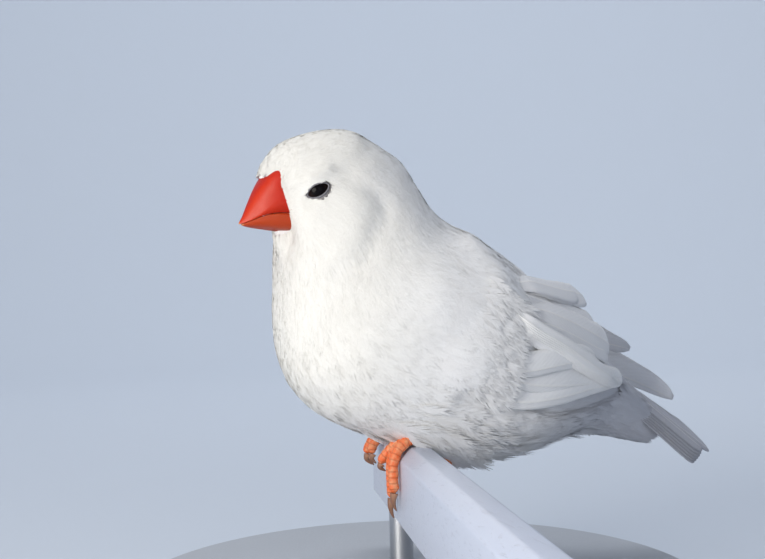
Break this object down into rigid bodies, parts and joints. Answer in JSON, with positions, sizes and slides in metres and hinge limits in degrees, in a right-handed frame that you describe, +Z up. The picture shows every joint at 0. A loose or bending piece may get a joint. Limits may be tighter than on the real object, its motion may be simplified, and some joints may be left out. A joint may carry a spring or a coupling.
{
  "type": "life-size zebra finch model",
  "caption": "White zebra finch with red-orange bill and feet, fluffed and perched crosswise on a short bar held by a round stand, head level and turned slightly.",
  "frame": {"origin": "centre of the underside of the round stand base", "axes": "+Z up, -Y the way the bird's body heads, +X the bird's left; the bar runs along X, yawed 12.2 degrees"},
  "size_m": [0.1407, 0.112, 0.0834],
  "materials": {
    "feathers": "soft white feathers with a cream breast and violet-grey shade",
    "bill": "satin horn, red at the ridge, orange below, pale tip",
    "eye": "wet near-black",
    "toes": "scaly orange skin",
    "claws": "brown horn",
    "perch": "white moulded plastic, scuffed",
    "stand": "matte grey powder coat",
    "rods": "fine brushed"
  },
  "bodies": {
    "root": {"head": "feathers", "neck": "feathers", "trunk": "feathers", "bill_upper": "bill", "bill_lower": "bill", "eye_left": "eye", "eye_right": "eye", "wing_left": "feathers", "wing_right": "feathers", "tail": "feathers", "leg_left": "toes", "leg_right": "toes", "claw_left_inner": "claws", "claw_left_middle": "claws", "claw_left_outer": "claws", "claw_left_hind": "claws", "claw_right_inner": "claws", "claw_right_middle": "claws", "claw_right_outer": "claws", "claw_right_hind": "claws", "perch": "perch", "stand_base": "stand", "stand_rod_1": "rods", "stand_rod_2": "rods"}
  },
  "joints": []
}
